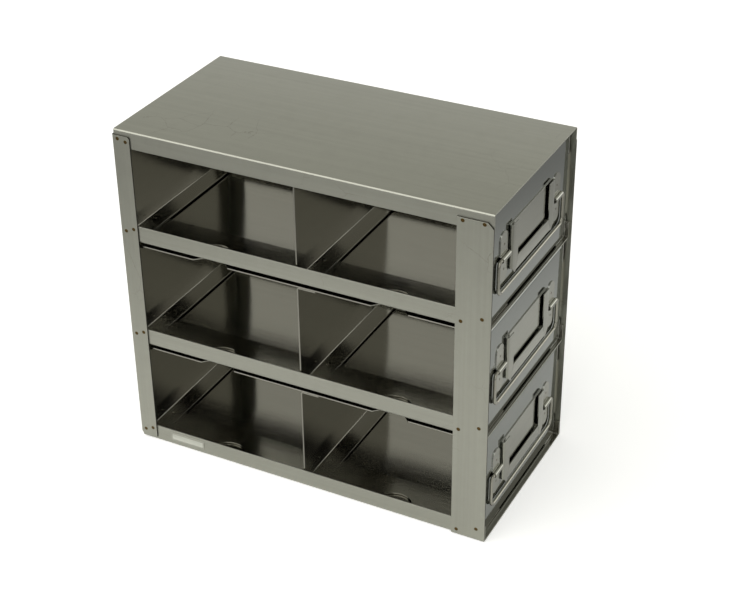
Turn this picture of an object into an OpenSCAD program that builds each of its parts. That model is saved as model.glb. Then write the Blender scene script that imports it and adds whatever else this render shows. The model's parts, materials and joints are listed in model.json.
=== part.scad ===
// Freezer drawer rack: a folded sheet frame with three pull-out drawers for storage boxes.
// The origin is at the bottom centre, +Z is up and the drawer fronts face -Y.

/* [Rack] */
// Width over the outside of the posts
rack_w = 140; // [125:1:180]
// Depth from the front edges to the back of the rear posts
rack_l = 280; // [250:1:340]
// Thickness of the sheet in the trays, the cover, the posts and the drawers
sheet_t = 1; // [0.6:0.1:1.6]
// Inside radius of the folds along the trays and the cover
fold_in = 1; // [0.4:0.1:2]
// Height of the side lips folded on the trays and the cover
lip_h = 13; // [9:0.5:18]
// Distance from the front edge of the rack back to the middle and upper trays
tray_recess = 1.5; // [0:0.1:3]

/* [Posts] */
// Width of the front posts, front to back
front_post_w = 25; // [16:0.5:32]
// Width of each leg of the rear posts
rear_post_w = 14; // [10:0.5:20]
// Distance from the top of the cover down to the front posts
front_post_drop = 6; // [3:0.5:9]
// Distance from the top of the cover down to the rear posts
rear_post_drop = 4; // [3:0.5:9]
// Height of the lower ends of the front posts above the ground
front_post_foot = 0.5; // [0.2:0.1:3]
// Height of the lower ends of the rear posts above the ground
rear_post_foot = 3; // [0.5:0.1:5]
// Size of the cut top corners at the front of the front posts
post_cut = 4; // [1:0.5:6]
// Size of the cut lower corners at the fold of the rear posts
rear_post_cut = 2.5; // [1:0.5:6]
// Radius of the rounded top corners of the rear posts
rear_post_r = 2; // [1:0.5:8]

/* [Drawers] */
// Height of one drawer, floor to roof
drawer_h = 80; // [70:0.5:110]
// Clear height above each drawer roof
head_room = 3; // [1.5:0.1:8]
// Height at which a drawer runs above its tray
slide_gap = 0.3; // [0.2:0.1:0.6]
// Gap between a drawer and the lip on each side
side_gap = 0.7; // [0.4:0.1:2]
// Gap between a closed drawer and the rear posts
rear_gap = 0.5; // [0.3:0.1:2]
// Distance from the front edge of the rack back to the drawer fronts
front_recess = 4; // [3.8:0.1:8]
// Clear depth of the front bay, from the drawer front to the divider
front_bay = 136; // [100:0.5:150]
// Width of the flat floor strips along the left of the drawers
strip_w = 33.5; // [30:0.5:50]
// Width of the floor angles along the right of the drawers
angle_w = 16.5; // [12:0.5:50]
// Height of the box stops folded on the floor angles and roofs along the right of the drawers
stop_h = 16.5; // [10:0.5:24]
// Length of the feet folded on the drawer fronts, dividers and rear walls
foot_l = 14; // [8:0.5:20]
// Inside radius of the folds in the drawer fronts, dividers, rear walls and box stops
wall_fold_in = 1; // [0.2:0.1:2]

/* [Finger cuts] */
// Width of the notches in the drawer roofs, at the edge
notch_w = 27.5; // [22:0.5:40]
// Depth of the notches in the drawer roofs
notch_in = 6; // [3:0.5:10]
// Diameter of the finger cuts in the floor strips
finger_d = 27; // [18:0.5:34]
// Distance from the strip edge in to the centre of a finger cut
finger_in = 4; // [0:0.5:10]

/* [Label holders] */
// Width of a label holder
holder_w = 72; // [50:1:78]
// Height of a label holder
holder_h = 36; // [26:0.5:44]
// Height of the handle centre above the underside of its drawer
handle_z = 42; // [36:0.5:46]
// Thickness of the sheet in the label holders
holder_t = 0.6; // [0.4:0.1:0.7]
// Thickness of the card slot behind the lips
card_gap = 1.7; // [0.5:0.1:2]
// Width of the side lips of a label holder
side_lip = 9.5; // [5:0.5:13]
// Height of the bottom lip of a label holder
bottom_lip = 10; // [6:0.5:12]
// Size of the cut lower corners of a label holder
holder_cut = 5; // [2:0.5:5]
// Width of the slit between the side and bottom lips
lip_slit = 0.4; // [0.2:0.1:0.8]
// Distance from a cut lower corner to the lower end of its slit
slit_in = 1.5; // [0.8:0.1:3]
// Inside radius of the label holder folds
holder_fold_in = 0.3; // [0.1:0.1:0.6]

/* [Bails] */
// Diameter of the bail wire
wire_d = 2.5; // [2:0.1:2.6]
// Distance from the bail axis down to the middle of its bar
bail_drop = 24; // [20:0.5:30]
// Radius of the bends at the top of the bail arms, to the middle of the wire
arm_bend_r = 3.5; // [2:0.1:5]
// Radius of the bends at the ends of the bail bar, to the middle of the wire
bar_bend_r = 5; // [2.5:0.1:7]
// Gap between the wire and the drawer front
wire_gap = 0.3; // [0.2:0.05:0.4]
// Radial play of the bail pins in the clips
pin_play = 0.05; // [0.03:0.01:0.1]
// Thickness of the clip strap
clip_t = 0.8; // [0.5:0.1:0.9]
// Width of a clip
clip_w = 12; // [8:0.5:13]
// Height of a clip
clip_h = 36; // [22:0.5:40]
// Gap between a clip and the label holder
clip_gap = 2.5; // [0.5:0.1:3]
// Distance from the inner side of a clip to the end of the bail pin
pin_short = 1; // [0.5:0.1:3]
// Straight length of wire between a clip and the arm bend
pin_out = 0.5; // [0.3:0.1:1]

/* [Name plate] */
// Length of the bare name plate
plate_l = 29; // [15:0.5:60]
// Height of the bare name plate
plate_h = 7; // [4:0.1:8]
// Thickness of the bare name plate
plate_t = 0.3; // [0.2:0.1:0.8]
// Distance from the back of the rack to the name plate
plate_back = 26; // [22:0.5:60]

/* [Hidden] */
$fn = 48;
LEVELS = ["lower", "middle", "upper"];
DRAWER_PARTS = [
    "floor_strip", "floor_angle", "drawer_roof", "drawer_front", "drawer_rear_wall", "drawer_divider",
    "label_holder", "clip_left", "clip_right", "bail"
];

// Overshoot of cutting shapes
over = 1;

// Frame places
level_pitch = sheet_t + slide_gap + drawer_h + head_room;
rack_h = len(LEVELS) * level_pitch + sheet_t;
front_y = -rack_l / 2;
back_y = rack_l / 2;
frame_w = rack_w - 2 * sheet_t;
frame_back_y = back_y - sheet_t;
frame_l = frame_back_y - front_y;

// Drawer places, measured from the underside of the drawer
drawer_w = frame_w - 2 * sheet_t - 2 * side_gap;
drawer_front_y = front_y + front_recess;
drawer_back_y = frame_back_y - rear_gap;
drawer_l = drawer_back_y - drawer_front_y;
wall_w = drawer_w - sheet_t - wall_fold_in;
wall_h = drawer_h - 2 * sheet_t;
divider_y = drawer_front_y + sheet_t + front_bay;
front_bay_y = divider_y - front_bay / 2;
rear_bay_y = (divider_y + drawer_back_y) / 2;

// Handle places, measured from the handle centre on the drawer front
holder_d = 2 * holder_t + card_gap;
holder_fold_r = holder_fold_in + holder_t;
clip_in = holder_w / 2 + clip_gap;
clip_out = clip_in + clip_w;
axis_off = wire_gap + wire_d / 2;
eye_r = wire_d / 2 + pin_play;
arm_x = clip_out + pin_out + arm_bend_r;

// Colours
steel = [0.72, 0.72, 0.70];
bright_steel = [0.80, 0.81, 0.81];
wire_steel = [0.66, 0.65, 0.60];
plate_silver = [0.85, 0.85, 0.83];

function tray_z(i) = i * level_pitch;
function drawer_z(i) = tray_z(i) + sheet_t + slide_gap;

// A rectangle that stands on the X axis, with its two lower corners rounded
module round_foot_2d(w, h, r) {
    translate([-w / 2, r]) square([w, h - r]);
    translate([r - w / 2, 0]) square([w - 2 * r, h]);
    for (side = [-1, 1]) translate([side * (w / 2 - r), r]) circle(r);
}

// The section of a sheet folded up on both sides, with an inside fold radius
module channel_2d(web, flange, inside_r) {
    difference() {
        round_foot_2d(web, flange, inside_r + sheet_t);
        translate([0, sheet_t]) round_foot_2d(web - 2 * sheet_t, flange, inside_r);
    }
}

// Carries a section drawn in X and Z from a recess behind the front edge of the rack to the rear posts
module along_frame(recess) {
    translate([0, frame_back_y, 0]) rotate([90, 0, 0]) linear_extrude(frame_l - recess) children();
}

// Carries a section drawn in Y and Z across a width, centred on X
module across(w) {
    translate([-w / 2, 0, 0]) rotate([90, 0, 90]) linear_extrude(w) children();
}

// Turns the left-hand piece into the right-hand one
module on_side(side) {
    mirror([side > 0 ? 1 : 0, 0, 0]) children();
}

// A tray, of which the lowest one reaches the front edge of the rack
module tray(i) {
    recess = i > 0 ? tray_recess : 0;
    color(steel) translate([0, 0, tray_z(i)]) along_frame(recess) channel_2d(frame_w, lip_h, fold_in);
}

module top_cover() {
    color(steel) translate([0, 0, rack_h]) mirror([0, 0, 1]) along_frame(0)
        channel_2d(frame_w, lip_h, fold_in);
}

// A flat strip outside the lips, with its top corner cut at the front
module front_post(side) {
    top = rack_h - front_post_drop;
    color(steel) on_side(side) translate([-rack_w / 2, 0, 0]) rotate([90, 0, 90]) linear_extrude(sheet_t)
        polygon([
            [front_y, front_post_foot],
            [front_y + front_post_w, front_post_foot],
            [front_y + front_post_w, top],
            [front_y + post_cut, top],
            [front_y, top - post_cut]
        ]);
}

// One leg of a rear post, drawn flat from its fold at x = 0, cut at the foot and rounded at its top
module rear_leg_2d() {
    top = rack_h - rear_post_drop;
    polygon([
        [0, rear_post_foot + rear_post_cut],
        [rear_post_cut, rear_post_foot],
        [rear_post_w, rear_post_foot],
        [rear_post_w, top - rear_post_r],
        [rear_post_w - rear_post_r, top - rear_post_r],
        [rear_post_w - rear_post_r, top],
        [0, top]
    ]);
    translate([rear_post_w - rear_post_r, top - rear_post_r]) intersection() {
        circle(rear_post_r);
        square(rear_post_r);
    }
}

// An angle whose side leg lies on the lips and whose rear leg stops the drawers
module rear_post(side) {
    top = rack_h - rear_post_drop;
    color(steel) on_side(side) translate([-rack_w / 2, back_y, 0]) difference() {
        union() {
            rotate([90, 0, -90]) translate([0, 0, -sheet_t]) linear_extrude(sheet_t) rear_leg_2d();
            rotate([90, 0, 0]) linear_extrude(sheet_t) rear_leg_2d();
        }
        translate([0, -sheet_t, rear_post_foot - over]) difference() {
            cube([sheet_t, sheet_t, top - rear_post_foot + 2 * over]);
            translate([sheet_t, 0, 0]) cylinder(h = top - rear_post_foot + 2 * over, r = sheet_t);
        }
    }
}

// A bare plate on the left lip of the base tray
module name_plate() {
    fold_r = fold_in + sheet_t;
    lip_face = lip_h - fold_r;
    color(plate_silver)
        translate([-frame_w / 2 - plate_t, back_y - plate_back - plate_l, fold_r + (lip_face - plate_h) / 2])
        cube([plate_t, plate_l, plate_h]);
}

// The section of a sheet that reaches in from the right edge of a drawer and folds up there into a box stop
module stop_fold_2d(reach) {
    fold_r = wall_fold_in + sheet_t;
    translate([drawer_w / 2 - reach, 0]) square([reach - fold_r, sheet_t]);
    translate([drawer_w / 2 - sheet_t, fold_r]) square([sheet_t, stop_h - fold_r]);
    translate([drawer_w / 2 - fold_r, fold_r]) intersection() {
        difference() {
            circle(fold_r);
            circle(wall_fold_in);
        }
        translate([0, -fold_r]) square(fold_r);
    }
}

// Carries a section drawn in X and Z from the drawer front to the back of the drawer
module along_drawer() {
    translate([0, drawer_back_y, 0]) rotate([90, 0, 0]) linear_extrude(drawer_l) children();
}

// Repeats a cutting shape at the left edge of both bays
module at_bays() {
    for (y = [front_bay_y, rear_bay_y]) translate([-drawer_w / 2, y, -over]) children();
}

// A flat strip along the left of a drawer, with a round-ended finger cut beside each bay
module floor_strip(i) {
    color(bright_steel) translate([0, 0, drawer_z(i)]) difference() {
        translate([-drawer_w / 2, drawer_front_y, 0]) cube([strip_w, drawer_l, sheet_t]);
        at_bays() {
            translate([finger_in, 0, 0]) cylinder(h = sheet_t + 2 * over, d = finger_d);
            translate([-over, -finger_d / 2, 0]) cube([finger_in + over, finger_d, sheet_t + 2 * over]);
        }
    }
}

module floor_angle(i) {
    color(bright_steel) translate([0, 0, drawer_z(i)]) along_drawer() stop_fold_2d(angle_w);
}

// A full roof, with a notch beside each bay whose ends slope at 45 degrees
module drawer_roof(i) {
    half = notch_w / 2;
    color(bright_steel) translate([0, 0, drawer_z(i) + drawer_h]) mirror([0, 0, 1]) difference() {
        along_drawer() stop_fold_2d(drawer_w);
        at_bays() linear_extrude(sheet_t + 2 * over) polygon([
            [-over, -half - over],
            [notch_in, notch_in - half],
            [notch_in, half - notch_in],
            [-over, half + over]
        ]);
    }
}

// An upright wall as far as the folds of the box stops, whose feet turn forwards or backwards
module drawer_wall(i, y, turn) {
    color(bright_steel) translate([(wall_w - drawer_w) / 2, y, drawer_z(i) + drawer_h / 2]) across(wall_w)
        rotate(turn * 90) channel_2d(wall_h, foot_l, wall_fold_in);
}

module drawer_front(i) {
    drawer_wall(i, drawer_front_y, -1);
}

module drawer_divider(i) {
    drawer_wall(i, divider_y + sheet_t, 1);
}

module drawer_rear_wall(i) {
    drawer_wall(i, drawer_back_y, 1);
}

// Moves a handle piece from the origin to its drawer front
module on_front(i) {
    translate([0, drawer_front_y, drawer_z(i) + handle_z]) children();
}

// The outer block of a label holder, rounded where its lips fold over
module holder_block() {
    intersection() {
        translate([0, 0, -holder_h / 2]) linear_extrude(holder_h)
            translate([0, -holder_d]) round_foot_2d(holder_w, holder_d, holder_fold_r);
        across(holder_w) union() {
            translate([holder_fold_r - holder_d, -holder_h / 2]) square([holder_d - holder_fold_r, holder_h]);
            translate([-holder_d, holder_fold_r - holder_h / 2]) square([holder_d, holder_h - holder_fold_r]);
            translate([holder_fold_r - holder_d, holder_fold_r - holder_h / 2]) circle(holder_fold_r);
        }
    }
}

// A plate whose sides and bottom fold over into lips, open at the top for a card
module label_holder(i) {
    window_w = holder_w - 2 * side_lip;
    bottom = -holder_h / 2;
    slit_x = holder_w / 2 - holder_cut - slit_in;
    slit_angle = atan2(slit_x - window_w / 2, bottom_lip);
    slit_l = norm([slit_x - window_w / 2, bottom_lip]) + over;
    color(steel) on_front(i) difference() {
        holder_block();
        translate([holder_t - holder_w / 2, -holder_t - card_gap, bottom + holder_t])
            cube([holder_w - 2 * holder_t, card_gap, holder_h]);
        translate([-window_w / 2, -holder_d - over, bottom + bottom_lip])
            cube([window_w, holder_t + over + card_gap / 2, holder_h]);
        for (side = [-1, 1]) on_side(side) {
            translate([-holder_w / 2, over, bottom]) rotate([90, 45, 0])
                translate([0, 0, holder_d / 2 + over])
                cube([holder_cut * sqrt(2), holder_cut * sqrt(2), holder_d + 2 * over], center = true);
            translate([-window_w / 2, -holder_d - over, bottom + bottom_lip])
                rotate([0, slit_angle, 0]) translate([-lip_slit / 2, 0, -slit_l])
                cube([lip_slit, holder_t + over + card_gap / 2, slit_l + over]);
        }
    }
}

// A strap with round ends that arches over the bail pin
module clip(i, side) {
    arch_r = eye_r + clip_t;
    color(steel) on_front(i) on_side(side) translate([-(clip_in + clip_out) / 2, 0, 0]) intersection() {
        across(clip_w) difference() {
            union() {
                translate([-clip_t, -clip_h / 2]) square([clip_t, clip_h]);
                translate([-axis_off, -arch_r]) square([axis_off, 2 * arch_r]);
                translate([-axis_off, 0]) circle(arch_r);
            }
            translate([-axis_off, 0]) circle(eye_r);
            translate([-axis_off, -eye_r]) square([axis_off + over, 2 * eye_r]);
            translate([0, -clip_h / 2]) square([arch_r, clip_h]);
        }
        rotate([90, 0, 0]) linear_extrude(2 * (axis_off + arch_r), center = true) union() {
            square([clip_w, clip_h - clip_w], center = true);
            for (end = [-1, 1]) translate([0, end * (clip_h - clip_w) / 2]) circle(clip_w / 2);
        }
    }
}

// A quarter turn of wire from straight along X to straight down, about the origin
module wire_bend(r) {
    rotate([90, 0, 0]) rotate_extrude(angle = 90) translate([r, 0]) circle(wire_d / 2);
}

// Half of the bail at positive X: pin, arm bend, arm, bar bend and half of the bar
module bail_half() {
    pin_start = clip_in + pin_short;
    pin_end = arm_x - arm_bend_r;
    bar_end = arm_x - bar_bend_r;
    translate([pin_start, 0, 0]) rotate([0, 90, 0]) cylinder(h = pin_end - pin_start, d = wire_d);
    translate([pin_end, 0, -arm_bend_r]) wire_bend(arm_bend_r);
    translate([arm_x, 0, bar_bend_r - bail_drop])
        cylinder(h = bail_drop - bar_bend_r - arm_bend_r, d = wire_d);
    translate([bar_end, 0, bar_bend_r - bail_drop]) mirror([0, 0, 1]) wire_bend(bar_bend_r);
    translate([0, 0, -bail_drop]) rotate([0, 90, 0]) cylinder(h = bar_end, d = wire_d);
}

module bail(i) {
    color(wire_steel) on_front(i) translate([0, -axis_off, 0])
        for (side = [-1, 1]) on_side(-side) bail_half();
}

tray(0);  // base_tray
tray(1);  // middle_tray
tray(2);  // upper_tray
top_cover();
front_post(-1);  // front_post_left
front_post(1);  // front_post_right
rear_post(-1);  // rear_post_left
rear_post(1);  // rear_post_right
name_plate();
for (i = [0 : len(LEVELS) - 1]) {
    floor_strip(i);
    floor_angle(i);
    drawer_roof(i);
    drawer_front(i);
    drawer_rear_wall(i);
    drawer_divider(i);
    label_holder(i);
    clip(i, -1);
    clip(i, 1);
    bail(i);
}
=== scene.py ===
"""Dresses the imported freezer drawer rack: folded sheet with rounded edges, wire bails and spot-weld marks."""

import json
import math

import bpy
import numpy as np
from bpy.props import FloatProperty, FloatVectorProperty, PointerProperty
from mathutils import Matrix, Vector

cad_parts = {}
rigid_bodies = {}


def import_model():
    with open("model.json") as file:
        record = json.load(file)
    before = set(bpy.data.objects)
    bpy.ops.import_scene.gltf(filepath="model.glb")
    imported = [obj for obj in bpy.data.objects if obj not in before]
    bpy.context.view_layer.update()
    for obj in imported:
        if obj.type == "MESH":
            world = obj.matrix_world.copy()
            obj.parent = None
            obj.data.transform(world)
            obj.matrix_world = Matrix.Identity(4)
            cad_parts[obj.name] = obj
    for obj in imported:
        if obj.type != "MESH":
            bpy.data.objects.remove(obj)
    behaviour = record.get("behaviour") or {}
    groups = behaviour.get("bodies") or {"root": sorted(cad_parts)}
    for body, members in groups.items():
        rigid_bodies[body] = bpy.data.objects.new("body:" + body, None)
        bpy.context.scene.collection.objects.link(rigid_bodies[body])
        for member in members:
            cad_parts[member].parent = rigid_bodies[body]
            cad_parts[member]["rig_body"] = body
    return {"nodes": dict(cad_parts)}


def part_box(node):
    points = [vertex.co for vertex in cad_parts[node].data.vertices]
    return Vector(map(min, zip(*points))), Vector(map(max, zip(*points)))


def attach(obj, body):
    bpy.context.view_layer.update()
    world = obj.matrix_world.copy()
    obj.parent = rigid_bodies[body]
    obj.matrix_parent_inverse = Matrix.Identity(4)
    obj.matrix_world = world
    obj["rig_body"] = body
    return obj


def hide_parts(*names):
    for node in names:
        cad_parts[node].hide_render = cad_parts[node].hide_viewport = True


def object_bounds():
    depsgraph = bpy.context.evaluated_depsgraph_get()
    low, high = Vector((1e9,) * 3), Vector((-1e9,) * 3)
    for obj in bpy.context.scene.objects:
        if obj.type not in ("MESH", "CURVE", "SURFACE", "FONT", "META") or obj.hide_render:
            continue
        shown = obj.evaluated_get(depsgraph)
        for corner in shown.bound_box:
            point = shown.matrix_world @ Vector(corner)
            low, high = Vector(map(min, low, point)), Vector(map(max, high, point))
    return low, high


bl_info = {
    "name": "Freezer drawer rack",
    "version": (1, 0, 0),
    "blender": (4, 5, 0),
    "location": "3D View > Sidebar > Rack",
    "description": "Builds the sheet, wire and weld marks of a freezer drawer rack on its CAD frame",
    "category": "Object",
}

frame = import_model()
CAD_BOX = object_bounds()

LEVELS = ("lower", "middle", "upper")
TRAYS = ("base_tray", "middle_tray", "upper_tray")
SIDES = (("left", -1), ("right", 1))
MM = 0.001
ARC_STEPS = 9
BEND_ANGLE = math.radians(35)
IMAGE_WIDTH = 748


def linear(hex_colour):
    """Scene-linear red, green and blue of an sRGB hex colour."""
    srgb = np.array([int(hex_colour[i:i + 2], 16) for i in (1, 3, 5)]) / 255
    return tuple(np.where(srgb <= 0.04045, srgb / 12.92, ((srgb + 0.055) / 1.055) ** 2.4).tolist())


def corners(node):
    """Lowest and highest corner of a CAD node at rest, as arrays in metres."""
    low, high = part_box(node)
    return np.array(low), np.array(high)


def sheet_gauge():
    """Thickness of the rack's sheet, which is the thickness of a flat front post."""
    low, high = corners("front_post_left")
    return float(high[0] - low[0])


def size(name, description, default_mm):
    """A length property whose default is given in millimetres."""
    return FloatProperty(name=name, description=description, default=default_mm * MM, unit="LENGTH")


def colour(name, description, default_hex):
    """A colour property whose default is given as an sRGB hex value."""
    return FloatVectorProperty(name=name, description=description, default=linear(default_hex),
                               subtype="COLOR", min=0, max=1)


class RackSizes(bpy.types.PropertyGroup):
    """Sizes that the frame's boxes do not give."""

    fold_in: size("Tray fold", "Inside radius of the folds along the trays", 1)
    cover_fold_in: size("Cover fold", "Inside radius of the folds along the cover", 0.3)
    wall_fold_in: size("Wall fold", "Inside radius of the folds in the drawer walls and box stops", 0.6)
    post_fold_in: size("Post fold", "Inside radius of the folds in the rear posts", 0.5)
    edge: size("Edge rounding", "Radius of the deburred edges of the other sheet", 0.12)
    roof_edge: size("Roof edge rounding", "Radius of the deburred edges of the drawer roofs", 0.3)
    tray_edge: size("Tray edge rounding", "Radius of the deburred edges of the trays and cover", 0.28)
    thin_edge: size("Thin edge rounding", "Radius of the deburred edges of the pressed sheet", 0.09)
    post_cut: size("Post corner cut", "Size of the cut top corners at the front of the front posts", 4)
    rear_cut: size("Rear post cut", "Size of the cut lower corners at the fold of the rear posts", 2.5)
    post_round: size("Rear post rounding", "Radius of the top corners of the rear posts", 2)
    finger_d: size("Finger cut", "Diameter of the finger cuts in the floor strips", 27)
    finger_in: size("Finger cut depth", "Distance from the strip edge in to the centre of a finger cut", 4)
    notch_w: size("Roof notch", "Width of the notches in the drawer roofs, at the edge", 27.5)
    notch_in: size("Roof notch depth", "Depth of the notches in the drawer roofs", 6)
    holder_t: size("Holder sheet", "Thickness of the sheet in the label holders, as it looks", 0.8)
    side_lip: size("Holder side lip", "Width of the side lips of a label holder", 9.5)
    bottom_lip: size("Holder bottom lip", "Height of the bottom lip of a label holder", 10)
    holder_cut: size("Holder corner cut", "Size of the cut lower corners of a label holder", 5)
    slit_in: size("Holder slit", "Distance from a cut corner to the lower end of its slit", 1.5)
    slit_w: size("Slit width", "Width of the slit between the side and bottom lips", 0.4)
    clip_t: size("Clip strap", "Thickness of the clip strap", 0.8)
    clip_bend: size("Clip bend", "Radius of the bends beside a clip's arch, to the middle of the strap", 0.6)
    pin_short: size("Pin end", "Distance from the inner side of a clip to the end of the bail pin", 1)
    arm_bend: size("Arm bend", "Radius of the top bends of the bail arms, to the wire's middle", 3.5)
    bar_bend: size("Bar bend", "Radius of the end bends of the bail bar, to the wire's middle", 5)
    plate_round: size("Plate corner", "Radius of the corners of the bare name plate", 0.8)
    plate_rim: size("Plate rim", "Width of the raised rim of the bare name plate", 1.4)
    mark_d: size("Weld mark", "Diameter of a spot-weld mark on the posts", 2.9)
    small_mark_d: size("Small weld mark", "Diameter of a spot-weld mark on the drawers", 1.8)
    mark_rise: size("Weld mark rise", "Height of a spot-weld mark's rim above the sheet", 0.05)


class RackColours(bpy.types.PropertyGroup):
    """Colours of the finishes and of the stage."""

    mill_sheet: colour("Mill sheet", "Rolled stainless sheet of the frame", "#A3A398")
    # Bright stainless of the drawers, its colour darkened with painted shade of the drawers' insides.
    bright_sheet: colour("Bright sheet", "Bright stainless sheet of the drawers", "#918F86")
    front_sheet: colour("Front sheet", "Sharply mirroring sheet of the drawer fronts", "#8A8D89")
    # Lighter than the drawers' sheet: painted light on the roofs and floor angles, which bounce light onto the
    # floors.
    light_painted_sheet: colour("Annealed sheet", "Brightest sheet, of roofs and floor angles", "#C4C4BE")
    pressed_sheet: colour("Pressed sheet", "Thin sheet of the label holders and clips", "#9C9C92")
    wire: colour("Wire", "Drawn stainless wire of the bails", "#A9A79B")
    # Cut edge colour: dull torn metal, darkened with painted shade of the gaps beside the cut edges.
    sheared_edge_gap_shade: colour("Sheared edge", "Dull torn metal on the cut edges of the sheet", "#3A3933")
    plate_rim: colour("Plate rim", "Raised rim of the bare name plate", "#A9A99E")
    plate: colour("Plate", "Matt foil panel of the bare name plate", "#C9CABF")
    soil: colour("Soil", "Handling marks, pits and scratches in the sheet", "#4A4638")
    heat_tint: colour("Heat tint", "Brown oxide on the spot welds of the posts", "#4E3D22")
    bare_weld: colour("Bare weld", "Dull metal on the spot welds of the drawers", "#5A564C")
    weld_straw: colour("Weld straw", "Straw tint round the spot welds", "#8C866F")
    floor: colour("Floor", "Pale studio floor", "#E8E8E6")
    sky_low: colour("Low sky", "Studio surround at the horizon", "#FAFAFA")
    sky_middle: colour("Middle sky", "Studio surround half way up", "#C9C9C1")
    sky_high: colour("High sky", "Studio surround overhead", "#B4B4B0")


class RackCamera(bpy.types.PropertyGroup):
    """Camera that gives the photographed view."""

    place: FloatVectorProperty(name="Place", description="Where the camera stands", unit="LENGTH",
                               default=(-0.8760, -0.4747, 0.7268))
    azimuth: FloatProperty(name="Azimuth", description="Turn of the view from straight at the drawer fronts",
                           default=math.radians(-62.63), subtype="ANGLE")
    elevation: FloatProperty(name="Elevation", description="Downward tilt of the view",
                             default=math.radians(31.25), subtype="ANGLE")
    roll: FloatProperty(name="Roll", description="Turn about the line of sight",
                        default=math.radians(-0.64), subtype="ANGLE")
    focal_px: FloatProperty(name="Focal length", description="Focal length in pixels of the image",
                            default=1638.4)


# Points and meshes

def spread(x, y, z):
    """Points whose coordinates are arrays or single numbers, stretched to one shape."""
    return np.stack(np.broadcast_arrays(x, y, z), axis=-1).astype(float)


def arc(centre, radius, start, end, steps=ARC_STEPS):
    """Points on a circle about a centre, from a start angle to an end angle in degrees."""
    turn = np.radians(np.linspace(start, end, steps))
    return np.column_stack([centre[0] + radius * np.cos(turn), centre[1] + radius * np.sin(turn)])


def channel_line(half_web, flange, bend):
    """Middle line of a folded channel: a flange down to a quarter bend, the web, and the same mirrored."""
    return np.vstack([
        [(-half_web, flange)],
        arc((bend - half_web, bend), bend, 180, 270),
        arc((half_web - bend, bend), bend, 270, 360),
        [(half_web, flange)],
    ])


def quads(rows, columns, wrap=False):
    """Corner numbers of the quads of a grid, whose last column joins the first where it wraps."""
    index = np.arange(rows * columns).reshape(rows, columns)
    if wrap:
        index = np.column_stack([index, index[:, 0]])
    around = [index[:-1, :-1], index[:-1, 1:], index[1:, 1:], index[1:, :-1]]
    return np.stack(around, axis=-1).reshape(-1, 4)


def mesh_of(name, points, faces):
    """A smooth-shaded mesh from an array of points and lists of corner numbers."""
    mesh = bpy.data.meshes.new(name)
    mesh.from_pydata(points.reshape(-1, 3).tolist(), [], faces)
    mesh.polygons.foreach_set("use_smooth", np.ones(len(faces), dtype=bool))
    return mesh


def ruled(name, *edges):
    """An open surface ruled by straight lines between matching points of each edge and the next."""
    points = np.stack(edges, axis=1)
    return mesh_of(name, points, quads(*points.shape[:2]).tolist())


def blank(name, outline):
    """A flat blank: one face inside an outline."""
    return mesh_of(name, outline, [list(range(len(outline)))])


def joined(name, meshes):
    """One mesh that holds several, taken over and removed."""
    points = []
    faces = []
    first = 0
    for mesh in meshes:
        place = np.empty(len(mesh.vertices) * 3)
        mesh.vertices.foreach_get("co", place)
        points.append(place.reshape(-1, 3))
        faces += [[first + corner for corner in face.vertices] for face in mesh.polygons]
        first += len(mesh.vertices)
        bpy.data.meshes.remove(mesh)
    return mesh_of(name, np.vstack(points), faces)


def show(mesh, body, material):
    """Puts a mesh in the scene as a piece that moves with a body."""
    piece = bpy.data.objects.new(mesh.name, mesh)
    bpy.context.scene.collection.objects.link(piece)
    mesh.materials.append(material)
    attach(piece, body)
    return piece


def stand_for(node, mesh, material):
    """Puts a mesh in the scene in place of a CAD node, on the node's own body."""
    piece = show(mesh, frame["nodes"][node]["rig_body"], material)
    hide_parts(node)
    return piece


def gauge(piece, thickness, edge, cut_edge=None, inside=None):
    """Gives a middle surface its sheet thickness and rounds its cut edges.

    The cut edges and the side away from the surface's normals may have materials of their own.
    """
    solid = piece.modifiers.new("sheet thickness", "SOLIDIFY")
    solid.thickness = thickness
    solid.offset = 0
    solid.use_even_offset = True
    if cut_edge:
        piece.data.materials.append(cut_edge)
        solid.material_offset_rim = len(piece.data.materials) - 1
    if inside:
        piece.data.materials.append(inside)
        solid.material_offset = len(piece.data.materials) - 1
    rounding = piece.modifiers.new("deburred edges", "BEVEL")
    rounding.width = edge
    rounding.segments = 2
    rounding.limit_method = "ANGLE"
    rounding.angle_limit = BEND_ANGLE
    rounding.harden_normals = True


# Materials

def add_node(tree, kind, inputs=None, **settings):
    """Adds a node with its settings, and fills its inputs with values or links."""
    node = tree.nodes.new(kind)
    for name, value in settings.items():
        setattr(node, name, value)
    for name, value in (inputs or {}).items():
        if isinstance(value, bpy.types.NodeSocket):
            tree.links.new(value, node.inputs[name])
        else:
            node.inputs[name].default_value = value
    return node


def rgba(rgb):
    """A colour with full alpha, as colour sockets take it."""
    return (*rgb, 1.0)


def new_material(name):
    """An empty node material, its tree and its Principled shader."""
    material = bpy.data.materials.new(name)
    material.use_nodes = True
    return material, material.node_tree, material.node_tree.nodes["Principled BSDF"]


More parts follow.
